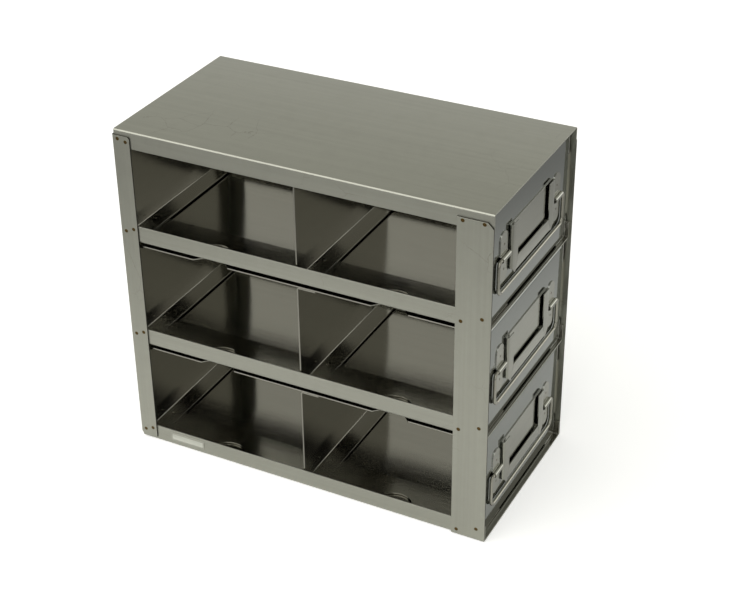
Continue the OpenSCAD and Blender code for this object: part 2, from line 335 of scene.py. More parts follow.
def rolled_steel(name, rgb, soil, roughness, grain_axis, grain_mm, wave_mm, streak_tone, soiling):
    """Cold-rolled stainless sheet: a metal with rolling lines along an axis, smudges, pits and scratches.

    The lines are really about 0.1 mm apart and are drawn 0.5 mm apart so that they show. Their height smears
    reflections across them. Broader streaks and clouds vary the tone. The sheet is never quite flat, so a
    slow wave over 60 mm bends its reflections. A sheet that is already made is used again.
    """
    if name in bpy.data.materials:
        return bpy.data.materials[name]
    line_across = 0.5 * MM
    line_along = 45 * MM
    streak_across = 2.5 * MM
    streak_along = 140 * MM
    smudge_across = 16 * MM
    pit_apart = 14 * MM
    scratch_apart = 26 * MM
    scratch_bend = 0.4 * scratch_apart
    wave_across = 60 * MM
    pitted_share = 0.3 * soiling
    film_most = 0.3 * soiling
    scratch_most = 0.7 * soiling
    grain_share = 0.35 * roughness
    smudge_share = 0.2 * roughness
    material, tree, shader = new_material(name)
    where = add_node(tree, "ShaderNodeTexCoord").outputs["Object"]

    # Patterns
    axis = "XYZ".index(grain_axis)
    line_scale = [1 / line_across] * 3
    line_scale[axis] = 1 / line_along
    streak_scale = [1 / streak_across] * 3
    streak_scale[axis] = 1 / streak_along
    along = add_node(tree, "ShaderNodeMapping", {"Vector": where, "Scale": line_scale})
    grain = add_node(tree, "ShaderNodeTexNoise", {"Vector": along.outputs[0], "Scale": 1, "Detail": 3})
    broad = add_node(tree, "ShaderNodeMapping", {"Vector": where, "Scale": streak_scale})
    streak = add_node(tree, "ShaderNodeTexNoise", {"Vector": broad.outputs[0], "Scale": 1, "Detail": 3})
    smudge = add_node(tree, "ShaderNodeTexNoise",
                      {"Vector": where, "Scale": 1 / smudge_across, "Detail": 5, "Roughness": 0.6})
    wave = add_node(tree, "ShaderNodeTexNoise", {"Vector": where, "Scale": 1 / wave_across, "Detail": 1})
    cells = add_node(tree, "ShaderNodeTexVoronoi", {"Vector": where, "Scale": 1 / pit_apart})
    bent = add_node(tree, "ShaderNodeVectorMath",
                    {0: smudge.outputs["Color"], 1: (scratch_bend,) * 3, 2: where}, operation="MULTIPLY_ADD")
    ways = add_node(tree, "ShaderNodeTexVoronoi", {"Vector": bent.outputs[0], "Scale": 1 / scratch_apart},
                    feature="DISTANCE_TO_EDGE")

    # Dirt in pits, in a thin film and in scratches
    pit = add_node(tree, "ShaderNodeMapRange",
                   {"Value": cells.outputs["Distance"], "From Min": 0.02, "From Max": 0.035,
                    "To Min": 1, "To Max": 0})
    rare = add_node(tree, "ShaderNodeMath",
                    {0: cells.outputs["Color"], 1: 1 - pitted_share}, operation="GREATER_THAN")
    pits = add_node(tree, "ShaderNodeMath", {0: pit.outputs[0], 1: rare.outputs[0]}, operation="MULTIPLY")
    film = add_node(tree, "ShaderNodeMapRange",
                    {"Value": smudge.outputs[0], "From Min": 0.5, "From Max": 0.8,
                     "To Min": 0, "To Max": film_most})
    spots = add_node(tree, "ShaderNodeMath", {0: film.outputs[0], 1: pits.outputs[0]}, operation="MAXIMUM")
    line = add_node(tree, "ShaderNodeMapRange",
                    {"Value": ways.outputs["Distance"], "From Min": 0.003, "From Max": 0.009,
                     "To Min": 1, "To Max": 0})
    worn = add_node(tree, "ShaderNodeMapRange",
                    {"Value": wave.outputs[0], "From Min": 0.58, "From Max": 0.68,
                     "To Min": 0, "To Max": scratch_most})
    scratch = add_node(tree, "ShaderNodeMath", {0: line.outputs[0], 1: worn.outputs[0]}, operation="MULTIPLY")
    dirt = add_node(tree, "ShaderNodeMath", {0: spots.outputs[0], 1: scratch.outputs[0]}, operation="MAXIMUM")

    # Tone, blur and height
    cloud = add_node(tree, "ShaderNodeMath", {0: streak.outputs[0], 1: smudge.outputs[0]}, operation="ADD")
    sweep = add_node(tree, "ShaderNodeMapRange",
                     {"Value": cloud.outputs[0], "From Min": 0.75, "From Max": 1.25})
    metal = add_node(tree, "ShaderNodeMix",
                     {"Factor": sweep.outputs[0], "A": rgba((1 - streak_tone) * np.array(rgb)),
                      "B": rgba((1 + streak_tone) * np.array(rgb))}, data_type="RGBA")
    base = add_node(tree, "ShaderNodeMix",
                    {"Factor": dirt.outputs[0], "A": metal.outputs["Result"], "B": rgba(soil)},
                    data_type="RGBA")
    streaks = add_node(tree, "ShaderNodeMath",
                       {0: grain.outputs[0], 1: grain_share, 2: roughness - (grain_share + smudge_share) / 2},
                       operation="MULTIPLY_ADD")
    blur = add_node(tree, "ShaderNodeMath", {0: smudge.outputs[0], 1: smudge_share, 2: streaks.outputs[0]},
                    operation="MULTIPLY_ADD")
    slow = add_node(tree, "ShaderNodeBump",
                    {"Height": wave.outputs[0], "Strength": 1, "Distance": wave_mm * MM})
    fine = add_node(tree, "ShaderNodeBump",
                    {"Height": grain.outputs[0], "Strength": 1, "Distance": grain_mm * MM,
                     "Normal": slow.outputs[0]})
    tree.links.new(base.outputs["Result"], shader.inputs["Base Color"])
    tree.links.new(blur.outputs[0], shader.inputs["Roughness"])
    tree.links.new(fine.outputs[0], shader.inputs["Normal"])
    shader.inputs["Metallic"].default_value = 1
    return material


def drawn_wire(rgb):
    """Drawn stainless wire: a smooth metal with fine, slightly darker die lines along the bar."""
    line_across = 0.4 * MM
    line_along = 20 * MM
    line_tone = 0.75
    material, tree, shader = new_material("stainless_wire_drawn")
    where = add_node(tree, "ShaderNodeTexCoord").outputs["Object"]
    along = add_node(tree, "ShaderNodeMapping",
                     {"Vector": where, "Scale": (1 / line_along, 1 / line_across, 1 / line_across)})
    lines = add_node(tree, "ShaderNodeTexNoise", {"Vector": along.outputs[0], "Scale": 1, "Detail": 2})
    base = add_node(tree, "ShaderNodeMix",
                    {"Factor": lines.outputs[0], "A": rgba(rgb), "B": rgba(line_tone * np.array(rgb))},
                    data_type="RGBA")
    tree.links.new(base.outputs["Result"], shader.inputs["Base Color"])
    blur = add_node(tree, "ShaderNodeMapRange", {"Value": lines.outputs[0], "To Min": 0.07, "To Max": 0.18})
    tree.links.new(blur.outputs[0], shader.inputs["Roughness"])
    shader.inputs["Metallic"].default_value = 1
    return material


def foil_plate(name, rgb):
    """Matt aluminium foil: a pale, dull metal with a fine even tooth."""
    tooth = 0.4 * MM
    tooth_height = 0.01 * MM
    tooth_tone = 0.88
    material, tree, shader = new_material(name)
    where = add_node(tree, "ShaderNodeTexCoord").outputs["Object"]
    grit = add_node(tree, "ShaderNodeTexNoise", {"Vector": where, "Scale": 1 / tooth, "Detail": 2})
    pale = add_node(tree, "ShaderNodeMix",
                    {"Factor": grit.outputs[0], "A": rgba(rgb), "B": rgba(tooth_tone * np.array(rgb))},
                    data_type="RGBA")
    tree.links.new(pale.outputs["Result"], shader.inputs["Base Color"])
    bump = add_node(tree, "ShaderNodeBump",
                    {"Height": grit.outputs[0], "Strength": 0.5, "Distance": tooth_height})
    tree.links.new(bump.outputs[0], shader.inputs["Normal"])
    shader.inputs["Metallic"].default_value = 0.6
    shader.inputs["Roughness"].default_value = 0.45
    return material


def weld_tint(name, rgb, straw):
    """Spot-welded stainless: a dark ring of oxide round a paler middle, which is a painted highlight, fading to
    straw at the rim.
    """
    middle_highlight_tone = 2.2
    outer_tone = 1.1
    dark_ring = 0.35
    outer_ring = 0.75
    material, tree, shader = new_material(name)
    out = add_node(tree, "ShaderNodeAttribute", attribute_name="from_middle")
    ramp = add_node(tree, "ShaderNodeValToRGB", {"Fac": out.outputs["Fac"]})
    rings = ramp.color_ramp.elements
    # The paler middle is a painted highlight.
    rings[0].color = rgba(middle_highlight_tone * np.array(rgb))
    rings[1].color = rgba(straw)
    rings.new(dark_ring).color = rgba(rgb)
    rings.new(outer_ring).color = rgba(outer_tone * np.array(rgb))
    tree.links.new(ramp.outputs["Color"], shader.inputs["Base Color"])
    shader.inputs["Metallic"].default_value = 1
    shader.inputs["Roughness"].default_value = 0.35
    return material


def pale_floor(rgb, top_up, near, far):
    """Matt studio floor, lifted to white for the eye with its shadow kept.

    Metal mirrors it without the lift and with a painted pool of light round the rack: its colour darkens from a
    near to a far level away from the rack.
    """
    pale_to = 0.15
    dark_from = 0.65
    material, tree, shader = new_material("studio_floor_matt")
    tree.nodes.remove(shader)
    path = add_node(tree, "ShaderNodeLightPath")
    seen = add_node(tree, "ShaderNodeMath",
                    {0: path.outputs["Is Camera Ray"], 1: path.outputs["Is Transmission Ray"]},
                    operation="MAXIMUM")
    lift = add_node(tree, "ShaderNodeMath", {0: seen.outputs[0], 1: top_up}, operation="MULTIPLY")
    matt = add_node(tree, "ShaderNodeBsdfDiffuse", {"Color": rgba(rgb)})
    glow = add_node(tree, "ShaderNodeEmission", {"Color": rgba((1, 1, 1)), "Strength": lift.outputs[0]})
    open_floor = add_node(tree, "ShaderNodeAddShader", {0: matt.outputs[0], 1: glow.outputs[0]})
    # Painted pool of light: glossy rays see a floor colour that darkens with the distance from the rack.
    where = add_node(tree, "ShaderNodeTexCoord").outputs["Object"]
    away = add_node(tree, "ShaderNodeVectorMath", {0: where}, operation="LENGTH")
    level = add_node(tree, "ShaderNodeMapRange",
                     {"Value": away.outputs["Value"], "From Min": pale_to, "From Max": dark_from,
                      "To Min": near, "To Max": far}, interpolation_type="SMOOTHSTEP")
    mirrored = add_node(tree, "ShaderNodeBsdfDiffuse", {"Color": level.outputs[0]})
    either = add_node(tree, "ShaderNodeMixShader",
                      {0: path.outputs["Is Glossy Ray"], 1: open_floor.outputs[0], 2: mirrored.outputs[0]})
    tree.links.new(either.outputs[0], tree.nodes["Material Output"].inputs["Surface"])
    return material


def mill_sheet(colours, axis):
    """The frame's rolled sheet, with its rolling lines along an axis: a dull, blurred mirror."""
    return rolled_steel(
        f"stainless_sheet_rolled_{axis.lower()}", colours.mill_sheet, colours.soil, roughness=0.34,
        grain_axis=axis, grain_mm=0.015, wave_mm=0.1, streak_tone=0.045, soiling=0.4)


def bright_sheet(colours, axis):
    """The drawers' bright sheet, with its rolling lines along an axis: a mirror smeared across them, its colour
    darkened with painted shade of the drawers' insides.
    """
    return rolled_steel(
        f"stainless_sheet_bright_{axis.lower()}", colours.bright_sheet, colours.soil, roughness=0.11,
        grain_axis=axis, grain_mm=0.025, wave_mm=0.12, streak_tone=0.03, soiling=0.25)


def front_sheet(colours):
    """The drawer fronts' sheet, kept under film until use, so that it mirrors most sharply."""
    return rolled_steel(
        "stainless_sheet_bright_front", colours.front_sheet, colours.soil, roughness=0.07,
        grain_axis="X", grain_mm=0.005, wave_mm=0.1, streak_tone=0.02, soiling=0.15)


def light_painted_sheet(colours):
    """The brightest copy of the drawers' sheet, lightened as painted light: the side of the roofs and floor
    angles which lights the floors, and fresh cut edges.
    """
    return rolled_steel(
        "stainless_sheet_bright_light_painted", colours.light_painted_sheet, colours.soil, roughness=0.13,
        grain_axis="Y", grain_mm=0.01, wave_mm=0.03, streak_tone=0.04, soiling=0.2)


def pressed_sheet(colours):
    """The thin sheet of the label holders and clips, with its rolling lines across the drawer."""
    return rolled_steel(
        "stainless_sheet_pressed", colours.pressed_sheet, colours.soil, roughness=0.14,
        grain_axis="X", grain_mm=0.008, wave_mm=0.05, streak_tone=0.04, soiling=0.2)


def torn_edge_gap_shade(colours):
    """Sheared stainless edge: dull torn metal, darkened further with painted shade of the gaps beside the
    edges, so that it shows as a thin dark line round a sheet.
    """
    material, _, shader = new_material("stainless_sheet_sheared_edge_gap_shade")
    shader.inputs["Base Color"].default_value = rgba(colours.sheared_edge_gap_shade)
    shader.inputs["Metallic"].default_value = 1
    shader.inputs["Roughness"].default_value = 0.5
    return material


# The rack's own pieces

def fold_tray(node, fold_in, upright):
    """Middle surface of a tray or cover: a channel section in X and Z carried from front to back."""
    half = sheet_gauge() / 2
    low, high = corners(node)
    line = channel_line((high[0] - low[0]) / 2 - half, high[2] - low[2] - half, fold_in + half)
    z = low[2] + half + line[:, 1] if upright else high[2] - half - line[:, 1]
    return ruled(f"{node}_sheet", spread(line[:, 0], low[1], z), spread(line[:, 0], high[1], z))


class RACK_OT_trays(bpy.types.Operator):
    """Fold the three trays and the cover."""

    bl_idname = "rack.trays"
    bl_label = "Trays and cover"

    def execute(self, context):
        sizes = context.scene.rack_sizes
        sheet = mill_sheet(context.scene.rack_colours, "Y")
        # The trays' inner side takes the drawers' sheet, whose darker colour is partly painted shade.
        inside = bright_sheet(context.scene.rack_colours, "Y")
        for node in (*TRAYS, "top_cover"):
            upright = node in TRAYS
            fold_in = sizes.fold_in if upright else sizes.cover_fold_in
            piece = stand_for(node, fold_tray(node, fold_in, upright), sheet)
            gauge(piece, sheet_gauge(), sizes.tray_edge, inside=inside if upright else None)
        return {"FINISHED"}


def shear_front_post(node, sizes, side):
    """Middle surface of a front post: a strip from its foot to its top, whose front corner is cut."""
    low, high = corners(node)
    y = np.array([low[1], low[1] + sizes.post_cut, high[1]])
    cut = np.array([sizes.post_cut, 0, 0])
    x = (low[0] + high[0] - side * sizes.mark_rise) / 2
    return ruled(f"{node}_strip", spread(x, y, low[2]), spread(x, y, high[2] - cut))


def fold_rear_post(node, sizes, side):
    """Middle surface of a rear post: an angle section with a cut foot at its fold and rounded top corners.

    The section runs from the free edge of the side leg round the bend to the free edge of the rear leg. Its
    foot falls by a slope, and its top by a circle, with the distance from the fold.
    """
    half = (sheet_gauge() - sizes.mark_rise) / 2
    low, high = corners(node)
    leg = high[1] - low[1]
    bend = sizes.post_fold_in + half
    inset = sizes.mark_rise + half
    turn = np.radians(np.linspace(0, 90, ARC_STEPS))
    flat = np.concatenate([leg - sizes.post_round * (1 - np.cos(turn)), [sizes.rear_cut, half + bend]])
    inner = turn[1:-1]
    corner_side = inset + bend * (1 - np.cos(inner))
    corner_rear = half + bend * (1 - np.sin(inner))
    from_side = np.concatenate([np.full(flat.shape, inset), corner_side, flat[::-1]])
    from_rear = np.concatenate([flat, corner_rear, np.full(flat.shape, half)])
    away = np.maximum(from_side, from_rear)
    foot = low[2] + np.clip(sizes.rear_cut - away, 0, None)
    over = np.clip(away - leg + sizes.post_round, 0, sizes.post_round)
    top = high[2] - sizes.post_round + np.sqrt(sizes.post_round ** 2 - over ** 2)
    face = low[0] if side < 0 else high[0]
    x = face - side * from_side
    y = high[1] - from_rear
    return ruled(f"{node}_angle", spread(x, y, foot), spread(x, y, top))


class RACK_OT_posts(bpy.types.Operator):
    """Shear the front posts and fold the rear posts."""

    bl_idname = "rack.posts"
    bl_label = "Posts"

    def execute(self, context):
        sizes = context.scene.rack_sizes
        sheet = mill_sheet(context.scene.rack_colours, "Z")
        # The posts' cut edges take the colour darkened with painted gap shade.
        cut_edge = torn_edge_gap_shade(context.scene.rack_colours)
        for name, side in SIDES:
            for node, make in ((f"front_post_{name}", shear_front_post),
                               (f"rear_post_{name}", fold_rear_post)):
                piece = stand_for(node, make(node, sizes, side), sheet)
                gauge(piece, sheet_gauge() - sizes.mark_rise, sizes.edge, cut_edge)
        return {"FINISHED"}


def stamp_plate(node, sizes):
    """A plate with rounded corners: rings of its outline, drawn in by steps, rise to a rim and dip inside."""
    low, high = corners(node)
    thick = high[0] - low[0]
    half_l = (high[1] - low[1]) / 2
    half_h = (high[2] - low[2]) / 2
    inset = np.array([0, 0, 0.1, 0.85, 1]) * sizes.plate_rim
    height = np.array([0, 0.7, 1, 1, 0.5]) * thick
    turn = np.radians(np.concatenate([np.linspace(a, a + 90, ARC_STEPS) for a in (0, 90, 180, 270)]))
    quarter = np.repeat([(1, 1), (-1, 1), (-1, -1), (1, -1)], ARC_STEPS, axis=0)
    r = sizes.plate_round
    rim_y = quarter[:, 0] * (half_l - r) + r * np.cos(turn)
    rim_z = quarter[:, 1] * (half_h - r) + r * np.sin(turn)
    y = (low[1] + high[1]) / 2 + rim_y * (1 - inset[:, None] / half_l)
    z = (low[2] + high[2]) / 2 + rim_z * (1 - inset[:, None] / half_h)
    points = spread(high[0] - height[:, None], y, z)
    rows, columns = points.shape[:2]
    ring = np.arange(columns)
    faces = quads(rows, columns, wrap=True)[:, ::-1].tolist()
    ends = [ring.tolist(), (ring + (rows - 1) * columns)[::-1].tolist()]
    mesh = mesh_of(f"{node}_foil", points, faces + ends)
    mesh.polygons[-1].material_index = 1
    return mesh


class RACK_OT_name_plate(bpy.types.Operator):
    """Stamp the bare name plate."""

    bl_idname = "rack.name_plate"
    bl_label = "Name plate"

    def execute(self, context):
        colours = context.scene.rack_colours
        mesh = stamp_plate("name_plate", context.scene.rack_sizes)
        rim = foil_plate("aluminium_foil_embossed", colours.plate_rim)
        piece = stand_for("name_plate", mesh, rim)
        piece.data.materials.append(foil_plate("aluminium_foil_matt", colours.plate))
        return {"FINISHED"}


# The drawers' sheets

def bay_middles(level):
    """Middles, front to back, of a drawer's two bays."""
    front = corners(f"{level}_drawer_front")[0][1] + sheet_gauge()
    divider = corners(f"{level}_drawer_divider")[1][1]
    back = corners(f"{level}_drawer_rear_wall")[1][1]
    return (front + divider - sheet_gauge()) / 2, (divider - sheet_gauge() + back) / 2


def left_edge(node, level, cut):
    """The left edge of a drawer's sheet, front to back, with the same cut beside each bay.

    The cut and the edge are lines of distances in from the edge and places along it.
    """
    low, high = corners(node)
    return np.vstack([[(0, low[1])], *[cut + (0, middle) for middle in bay_middles(level)], [(0, high[1])]])


def cut_strip(node, edge):
    """Middle surface of a floor strip: a rectangle with cuts in its left edge."""
    low, high = corners(node)
    x = np.append(low[0] + edge[:, 0], [high[0], high[0]])
    y = np.append(edge[:, 1], [high[1], low[1]])
    return blank(f"{node}_sheet", spread(x, y, (low[2] + high[2]) / 2)[::-1])


def finger_cut(sizes):
    """A half round at the end of two straight sides."""
    round_end = arc((sizes.finger_in, 0), sizes.finger_d / 2, -90, 90, 3 * ARC_STEPS)
    return np.vstack([[(0, -sizes.finger_d / 2)], round_end, [(0, sizes.finger_d / 2)]])


def roof_notch(sizes):
    """A notch whose ends slope at 45 degrees."""
    half = sizes.notch_w / 2
    deep = sizes.notch_in
    return np.array([(0, -half), (deep, deep - half), (deep, half - deep), (0, half)])


def fold_stop(node, sizes, edge, upright):
    """Middle surface of a floor angle or roof: a level sheet, a quarter bend and a box stop, in X and Z.

    The section is carried front to back, and its level sheet starts at the left edge.
    """
    half = sheet_gauge() / 2
    low, high = corners(node)
    bend = sizes.wall_fold_in + half
    corner = arc((high[0] - half - bend, half + bend), bend, -90, 0)
    rise = np.concatenate([[half], corner[:, 1], [high[2] - low[2]]])
    z = low[2] + rise if upright else high[2] - rise
    sections = [spread(np.concatenate([[low[0] + inward], corner[:, 0], [high[0] - half]]), y, z)
                for inward, y in edge]
    return ruled(f"{node}_sheet", *sections)


def fold_wall(node, sizes, feet_back):
    """Middle surface of a drawer wall: a channel section in Y and Z carried across the drawer."""
    half = sheet_gauge() / 2
    low, high = corners(node)
    line = channel_line((high[2] - low[2]) / 2 - half, high[1] - low[1] - half, sizes.wall_fold_in + half)
    z = (low[2] + high[2]) / 2 + line[:, 0]
    y = low[1] + half + line[:, 1] if feet_back else high[1] - half - line[:, 1]
    return ruled(f"{node}_sheet", spread(low[0], y, z), spread(high[0], y, z))


class RACK_OT_drawer_sheets(bpy.types.Operator):
    """Cut the drawers' floor strips, and fold their floor angles, roofs, fronts, dividers and rear walls."""

    bl_idname = "rack.drawer_sheets"
    bl_label = "Drawer sheets"

    def execute(self, context):
        sizes = context.scene.rack_sizes
        # The drawers' strips and walls take the sheet darkened with painted shade.
        along = bright_sheet(context.scene.rack_colours, "Y")
        across = bright_sheet(context.scene.rack_colours, "X")
        front = front_sheet(context.scene.rack_colours)
        light_painted = light_painted_sheet(context.scene.rack_colours)
        for level in LEVELS:
            strip, angle, roof = f"{level}_floor_strip", f"{level}_floor_angle", f"{level}_drawer_roof"
            edges = corners(angle)
            mesh = cut_strip(strip, left_edge(strip, level, finger_cut(sizes)))
            gauge(stand_for(strip, mesh, along), sheet_gauge(), sizes.edge)
            # The floor angles and roofs take the lighter copy of the sheet, which is painted light.
            mesh = fold_stop(angle, sizes, [(0, edges[0][1]), (0, edges[1][1])], upright=True)
            gauge(stand_for(angle, mesh, light_painted), sheet_gauge(), sizes.edge)
            mesh = fold_stop(roof, sizes, left_edge(roof, level, roof_notch(sizes)), upright=False)
            piece = stand_for(roof, mesh, light_painted)
            gauge(piece, sheet_gauge(), sizes.roof_edge, cut_edge=across, inside=across)
            for part in ("front", "divider", "rear_wall"):
                node = f"{level}_drawer_{part}"
                metal = front if part == "front" else across
                piece = stand_for(node, fold_wall(node, sizes, part == "front"), metal)
                gauge(piece, sheet_gauge(), sizes.edge)
        return {"FINISHED"}


# The handles

def fold_holder(node, sizes):
    """Middle surface of a label holder: a plate whose sides fold over into lips, and a like bottom lip.

    Across the plate the section is a lip, a half circle, the plate, a half circle and a lip, and each column
    runs from a lower end, set by the corner cut and the slit, to the top. The bottom lip runs up from the
    plate's foot round a half circle, and narrows towards the window.
    """
    low, high = corners(node)
    half = sizes.holder_t / 2
    centre = (low + high) / 2
    half_w = (high[0] - low[0]) / 2
    bend = (high[1] - low[1] - sizes.holder_t) / 2
    back = high[1] - half
    lip_y = low[1] + half
    window = half_w - sizes.side_lip
    slit = half_w - sizes.holder_cut - sizes.slit_in

    round_x = half_w - half - bend
    turn = arc((round_x, back - bend), bend, 90, -90, ARC_STEPS)
    plate_x = [0, window, half_w - sizes.holder_cut]
    lip_x = [slit + sizes.slit_in, slit + sizes.slit_w, slit, window]
    right_x = np.concatenate([plate_x, turn[:, 0], lip_x])
    right_y = np.concatenate([[back] * len(plate_x), turn[:, 1], [lip_y] * len(lip_x)])
    on_lip = np.arange(len(right_x)) >= len(right_x) - len(lip_x)
    corner = np.clip(right_x - half_w + sizes.holder_cut, 0, None)
    slope = np.clip((slit - right_x) / (slit - window), 0, 1) * sizes.bottom_lip
    foot = low[2] + np.where(on_lip, slope, half + bend)
    foot = np.maximum(foot, low[2] + corner)
    x = np.concatenate([-right_x[:0:-1], right_x])
    y = np.concatenate([right_y[:0:-1], right_y])
    z = np.concatenate([foot[:0:-1], foot])
    plate = ruled(f"{node}_plate", spread(centre[0] + x, y, z), spread(centre[0] + x, y, high[2]))

    fold = arc((back - bend, low[2] + half + bend), bend, 0, -180, ARC_STEPS)
    y = np.concatenate([fold[:, 0], [lip_y]])
    z = np.concatenate([fold[:, 1], [low[2] + sizes.bottom_lip]])
    rise = np.clip((z - low[2] - half - bend) / (sizes.bottom_lip - half - bend), 0, 1)
    reach = slit - sizes.slit_w - (slit - window) * rise
    lip = ruled(f"{node}_lip", spread(centre[0] - reach, y, z), spread(centre[0] + reach, y, z))
    return joined(f"{node}_sheet", [plate, lip])


class RACK_OT_label_holders(bpy.types.Operator):
    """Fold the label holders."""

    bl_idname = "rack.label_holders"
    bl_label = "Label holders"

    def execute(self, context):
        sizes = context.scene.rack_sizes
        sheet = pressed_sheet(context.scene.rack_colours)
        edge = light_painted_sheet(context.scene.rack_colours)
        for level in LEVELS:
            node = f"{level}_label_holder"
            piece = stand_for(node, fold_holder(node, sizes), sheet)
            gauge(piece, sizes.holder_t, sizes.thin_edge, cut_edge=edge)
        return {"FINISHED"}


def bend_clip(node, sizes):
    """Middle surface of a clip: a strap with round ends carried up a tab, over an arch and up a second tab.

    The line in Y and Z is a tab, a small bend, a leg, half a circle round the bail pin, and the same
    mirrored. The half width follows a circle at each end.
    """
    low, high = corners(node)
    half = sizes.clip_t / 2
    middle = (low[2] + high[2]) / 2
    half_w = (high[0] - low[0]) / 2
    half_h = (high[2] - low[2]) / 2
    tab = high[1] - half
    bail = corners(f"{node.split('_')[0]}_bail")
    pin_y = (bail[0][1] + bail[1][1]) / 2
    pin_r = pin_y - low[1] - half
    bend = sizes.clip_bend

    first_angle = 12
    end = np.radians(np.linspace(first_angle, 90, ARC_STEPS))
    end_z = half_h - half_w * (1 - np.cos(end))
    curl = arc((tab - bend, pin_r + bend), bend, 0, -90, ARC_STEPS)
    over = arc((pin_y, 0), pin_r, 90, 180, 2 * ARC_STEPS)
    upper_y = np.concatenate([np.full(end_z.shape, tab), curl[:, 0], over[:, 0]])
    upper_z = np.concatenate([end_z, curl[:, 1], over[:, 1]])
    width = np.concatenate([half_w * np.sin(end), np.full(len(curl) + len(over), half_w)])
    y = np.concatenate([upper_y, upper_y[-2::-1]])
    z = middle + np.concatenate([upper_z, -upper_z[-2::-1]])
    width = np.concatenate([width, width[-2::-1]])
    x = (low[0] + high[0]) / 2
    return ruled(f"{node}_strap", spread(x - width, y, z), spread(x + width, y, z))


class RACK_OT_clips(bpy.types.Operator):
    """Bend the clips that hold the bails."""

    bl_idname = "rack.clips"
    bl_label = "Clips"

    def execute(self, context):
        sizes = context.scene.rack_sizes
        sheet = pressed_sheet(context.scene.rack_colours)
        edge = light_painted_sheet(context.scene.rack_colours)
        for level in LEVELS:
            for name, _ in SIDES:
                node = f"{level}_clip_{name}"
                piece = stand_for(node, bend_clip(node, sizes), sheet)
                gauge(piece, sizes.clip_t, sizes.thin_edge, cut_edge=edge)
        return {"FINISHED"}


def bend_bail(node, sizes):
    """A wire tube: circles square to a line of pin, bend, arm, bend and half bar, and the same mirrored.

    The circles shrink a little at both ends, where the wire is cut and dressed.
    """
    around = 24
    low, high = corners(node)
    radius = (high[1] - low[1]) / 2
    arm = high[0] - radius
    top = high[2] - radius
    bar = low[2] + radius
    start = corners(node.replace("bail", "clip_right"))[0][0] + sizes.pin_short
    dressed = np.array([0, 0.12, 0.35]) * radius
    dressed_rings = len(dressed)
    dressed_slope = 0.7
    half_line = np.vstack([
        np.column_stack([start + dressed, np.full(dressed_rings, top)]),
        arc((arm - sizes.arm_bend, top - sizes.arm_bend), sizes.arm_bend, 90, 0, 2 * ARC_STEPS),
        arc((arm - sizes.bar_bend, bar + sizes.bar_bend), sizes.bar_bend, 0, -90, 2 * ARC_STEPS),
    ])
    line = np.vstack([half_line, half_line[::-1] * (-1, 1)])
    steps = np.diff(line, axis=0)
    steps /= np.linalg.norm(steps, axis=1, keepdims=True)
    along = np.vstack([steps[:1], steps[:-1] + steps[1:], steps[-1:]])
    along /= np.linalg.norm(along, axis=1, keepdims=True)
    girth = np.full(len(line), radius)
    girth[:dressed_rings] = radius - dressed[::-1] * dressed_slope
    girth[-dressed_rings:] = radius - dressed * dressed_slope
    turn = np.linspace(0, 2 * np.pi, around, endpoint=False)
    aside = girth[:, None] * np.cos(turn)
    x = line[:, :1] - along[:, 1:] * aside
    z = line[:, 1:] + along[:, :1] * aside
    y = (low[1] + high[1]) / 2 + girth[:, None] * np.sin(turn)
    points = spread(x, y, z)
    ring = np.arange(around)
    ends = [ring.tolist(), (ring + (len(line) - 1) * around)[::-1].tolist()]
    faces = quads(len(line), around, wrap=True)[:, ::-1].tolist()
    return mesh_of(f"{node}_wire", points, faces + ends)


class RACK_OT_bails(bpy.types.Operator):
    """Bend the wire bails."""

    bl_idname = "rack.bails"
    bl_label = "Bails"

    def execute(self, context):
        colours = context.scene.rack_colours
        wire = drawn_wire(colours.wire)
        for level in LEVELS:
            node = f"{level}_bail"
            stand_for(node, bend_bail(node, context.scene.rack_sizes), wire)
        return {"FINISHED"}


# Spot welds

def weld_marks(name, middles, normals, diameter, rise):
    """Spot-weld marks: a low round button at each place, with a raised rim and a dished middle.

    Each is a ring profile turned about the sheet's normal, with its foot sunk in the sheet. The attribute
    from_middle is the share of the radius.
    """
    around = 20
    share = np.array([0.12, 0.35, 0.6, 0.78, 0.92, 1, 1])
    height = np.array([0.35, 0.25, 0.45, 1, 0.8, 0.1, -3]) * rise
    middles = np.array(middles, float)
    normals = np.array(normals, float)
    side = np.cross(normals, np.where(np.abs(normals[:, 2:]) > 0.5, (1, 0, 0), (0, 0, 1)))
    up = np.cross(normals, side)
    turn = np.linspace(0, 2 * np.pi, around, endpoint=False)
    out = share[:, None] * diameter / 2
    points = (
        middles[:, None, None]
        + (out * np.cos(turn))[None, :, :, None] * side[:, None, None]
        + (out * np.sin(turn))[None, :, :, None] * up[:, None, None]
        + height[None, :, None, None] * normals[:, None, None]
    )
    marks, rings = points.shape[:2]
    first = np.arange(marks)[:, None, None] * rings * around
    walls = (first + quads(rings, around, wrap=True)[None]).reshape(-1, 4)
    ring = np.arange(around)
    tops = (first[:, 0] + ring).tolist()
    feet = (first[:, 0] + (rings - 1) * around + ring[::-1]).tolist()
    mesh = mesh_of(name, points, walls[:, ::-1].tolist() + tops + feet)
    share_of_radius = np.tile(np.repeat(share, around), marks)
    mesh.attributes.new("from_middle", "FLOAT", "POINT").data.foreach_set("value", share_of_radius)
    return mesh


